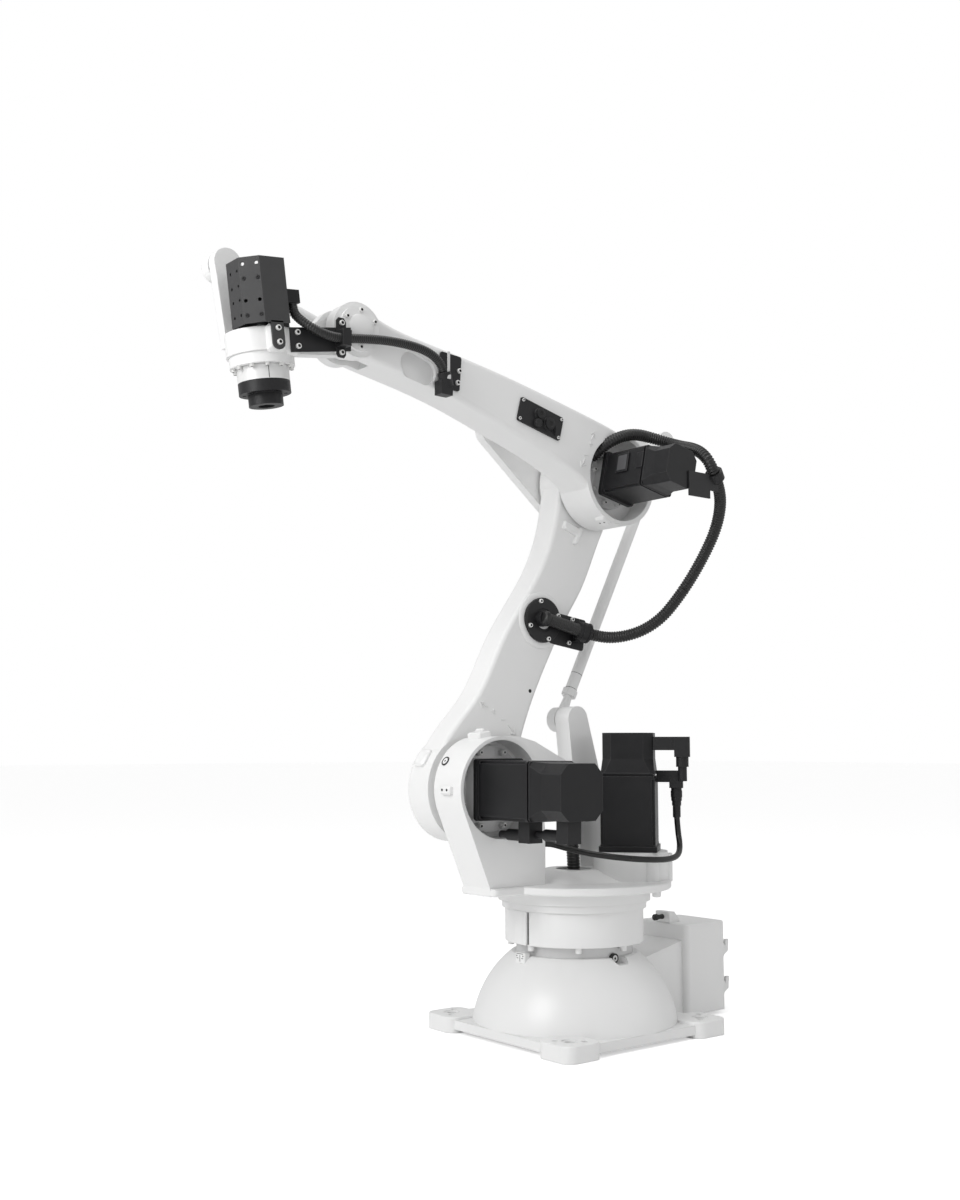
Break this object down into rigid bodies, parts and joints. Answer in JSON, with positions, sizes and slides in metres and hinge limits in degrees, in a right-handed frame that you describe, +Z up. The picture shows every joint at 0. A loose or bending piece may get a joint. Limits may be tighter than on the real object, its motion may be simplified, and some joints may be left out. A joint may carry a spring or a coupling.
{
  "type": "palletising robot arm",
  "caption": "Four-axis palletising robot arm with parallel tie rods that keep its tool flange level, on a bolt-down base.",
  "frame": {"origin": "on the floor under the base, at the centre of the base's bolt rectangle and on the first, vertical axis", "axes": "+X forward along the arm, +Y to the side that carries the motors, +Z up"},
  "size_m": [1.373, 0.542, 1.6121],
  "materials": {
    "white_paint": "satin paint over casting",
    "grey_casting": "machined casting",
    "black_motor": "satin black paint",
    "black_plastic": "moulded, matt",
    "black_conduit": "ribbed, satin",
    "black_steel": "black coated sheet",
    "steel": "turned"
  },
  "bodies": {
    "base": {"base_casting": "white_paint", "base_reducer": "grey_casting", "rear_connector": "grey_casting", "rear_connector_levers": "white_paint", "turn_stop": "white_paint"},
    "turret": {"slewing_drum": "white_paint", "turret_ring": "white_paint", "turret_casting": "white_paint", "base_motor": "black_motor", "base_motor_plugs": "black_plastic", "shoulder_motor_plugs": "black_plastic", "motor_cable": "black_conduit", "centre_cable": "black_conduit", "shoulder_motor_seat": "grey_casting", "shoulder_motor": "black_motor", "lower_rod_pin": "steel"},
    "lower_arm": {"lower_arm_casting": "white_paint", "shoulder_reducer": "grey_casting", "shoulder_hub_cover": "white_paint", "elbow_axle": "steel", "gland_plate": "black_plastic", "conduit_clamp": "black_plastic", "loop_conduit_lower": "black_conduit"},
    "lower_rod": {"lower_tie_rod": "white_paint"},
    "elbow_link": {"elbow_link": "white_paint"},
    "upper_arm": {"upper_arm_casting": "white_paint", "elbow_reducer": "grey_casting", "elbow_motor_seat": "grey_casting", "elbow_motor": "black_motor", "elbow_motor_bracket": "black_steel", "arch_conduit": "black_conduit", "loop_conduit_upper": "black_conduit", "service_panel": "black_plastic", "arm_conduit_bracket": "black_steel", "wrist_pin": "white_paint", "wrist_conduit": "black_conduit"},
    "upper_rod": {"upper_tie_rod": "white_paint"},
    "wrist": {"wrist_casting": "white_paint", "screw_ring": "white_paint", "wrist_motor": "black_motor", "motor_guard": "black_steel", "wrist_bracket": "black_steel"},
    "tool": {"output_hub": "white_paint", "tool_flange": "black_steel"}
  },
  "joints": [
    {"name": "base_turn", "type": "hinge", "parent": "base", "child": "turret", "pos_m": [0, 0, 0.2], "axis": [0, 0, 1], "range_deg": [-170, 170]},
    {"name": "shoulder", "type": "hinge", "parent": "turret", "child": "lower_arm", "pos_m": [0.255, -0.044, 0.539], "axis": [0, 1, 0], "range_deg": [-15, 85]},
    {"name": "elbow_link_turn", "type": "hinge", "parent": "lower_arm", "child": "elbow_link", "pos_m": [-0.11251, -0.141, 1.25409], "axis": [0, 1, 0], "range_deg": [-85, 15], "deforming": ["loop_conduit_lower"]},
    {"name": "lower_rod_turn", "type": "hinge", "parent": "turret", "child": "lower_rod", "pos_m": [-0.04411, -0.093, 0.69206], "axis": [0, 1, 0], "range_deg": [-15, 85]},
    {"name": "elbow", "type": "hinge", "parent": "elbow_link", "child": "upper_arm", "pos_m": [-0.11251, -0.048, 1.25409], "axis": [0, 1, 0], "range_deg": [-24, 44], "deforming": ["loop_conduit_upper"]},
    {"name": "wrist_turn", "type": "hinge", "parent": "upper_arm", "child": "wrist", "pos_m": [0.63018, 0, 1.46846], "axis": [0, 1, 0], "range_deg": [-44, 24], "deforming": ["wrist_conduit"]},
    {"name": "upper_rod_turn", "type": "hinge", "parent": "elbow_link", "child": "upper_rod", "pos_m": [0.12908, -0.093, 1.36777], "axis": [0, 1, 0], "range_deg": [-24, 44]},
    {"name": "tool_turn", "type": "hinge", "parent": "wrist", "child": "tool", "pos_m": [0.81835, 0, 1.36576], "axis": [0.1357, 0, 0.9907], "range_deg": [-300, 300]}
  ],
  "couplings": [
    {"joint": "elbow_link_turn", "follows": "shoulder", "ratio": -1},
    {"joint": "lower_rod_turn", "follows": "shoulder", "ratio": 1},
    {"joint": "wrist_turn", "follows": "elbow", "ratio": -1},
    {"joint": "upper_rod_turn", "follows": "elbow", "ratio": 1}
  ]
}
